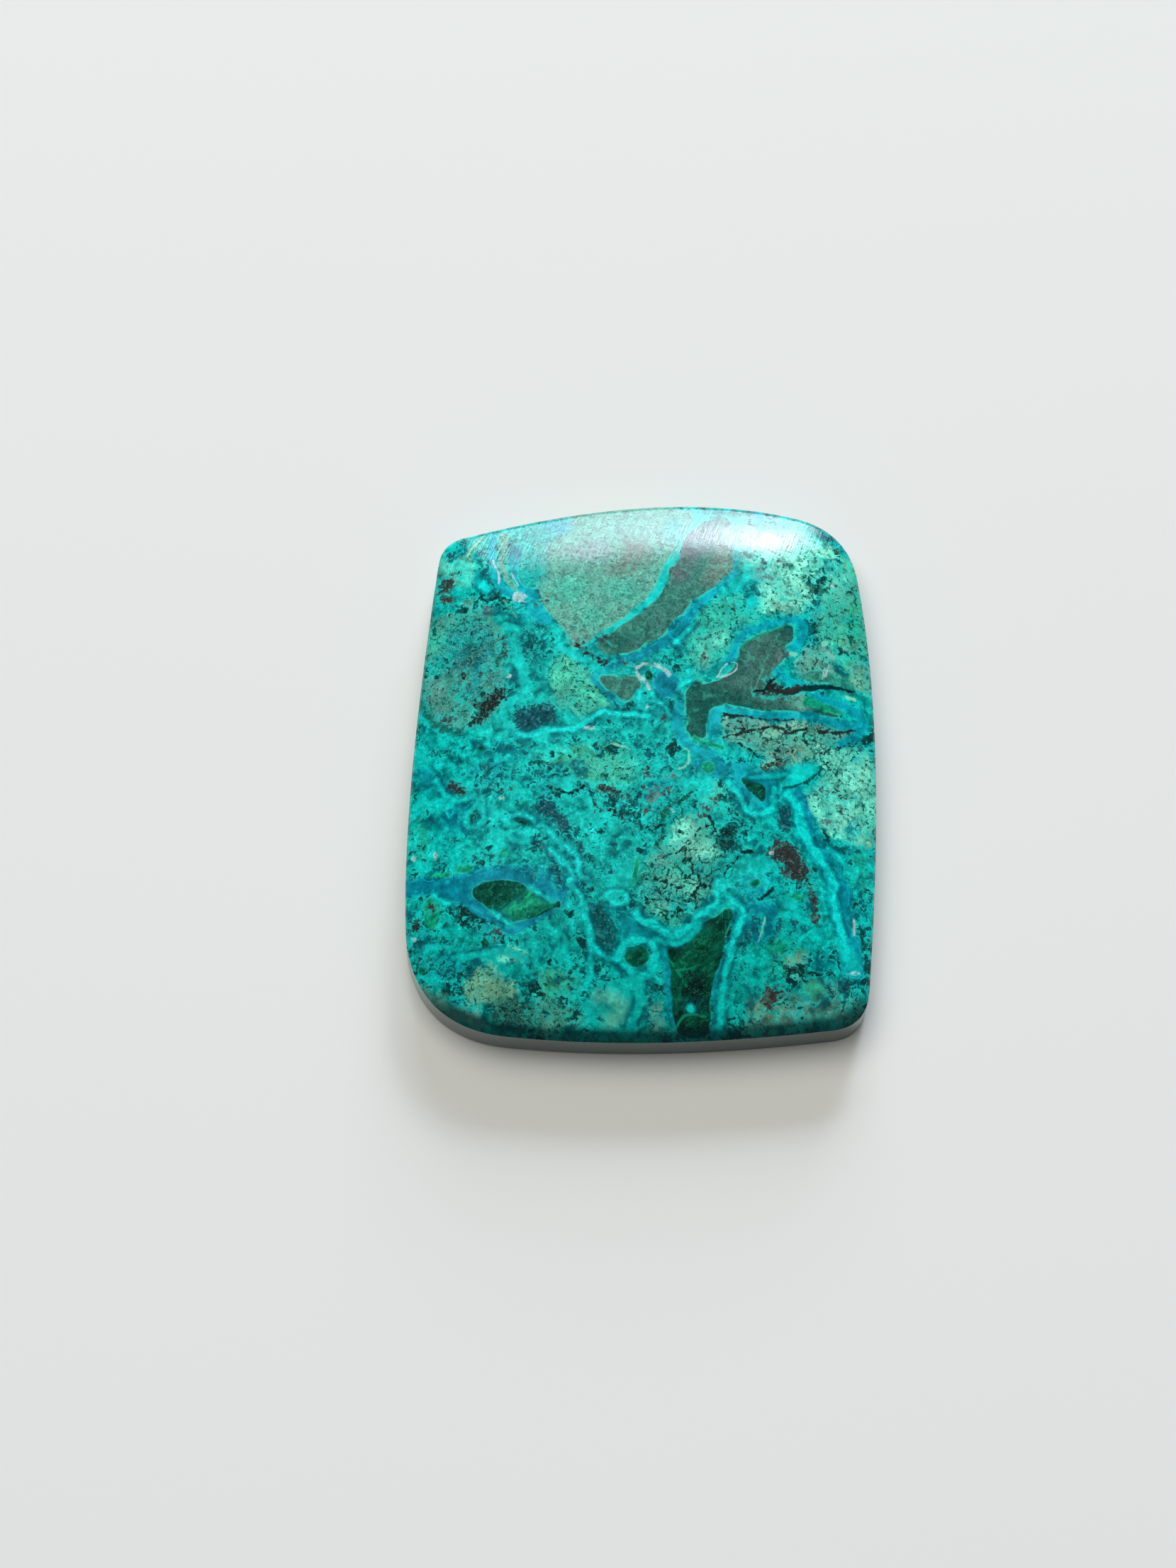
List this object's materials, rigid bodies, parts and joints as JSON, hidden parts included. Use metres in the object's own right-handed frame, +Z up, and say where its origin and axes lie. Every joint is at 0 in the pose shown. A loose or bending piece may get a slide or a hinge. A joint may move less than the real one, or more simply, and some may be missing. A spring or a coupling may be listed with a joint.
{
  "type": "polished chrysocolla cabochon",
  "caption": "Cushion-shaped polished chrysocolla stone with bowed sides, a low dome, a short girdle wall and a flat back to rest on.",
  "frame": {"origin": "middle of the flat back, on the surface that the stone lies on", "axes": "+Z up through the dome, +Y along the stone's length towards the more strongly bowed end, +X to the right seen from above"},
  "size_m": [0.03, 0.0358, 0.006],
  "materials": {
    "polished_chrysocolla": "polished turquoise stone with blue veins, dark green malachite and brown-black specks"
  },
  "bodies": {
    "root": {"chrysocolla_cabochon": "polished_chrysocolla"}
  },
  "joints": []
}
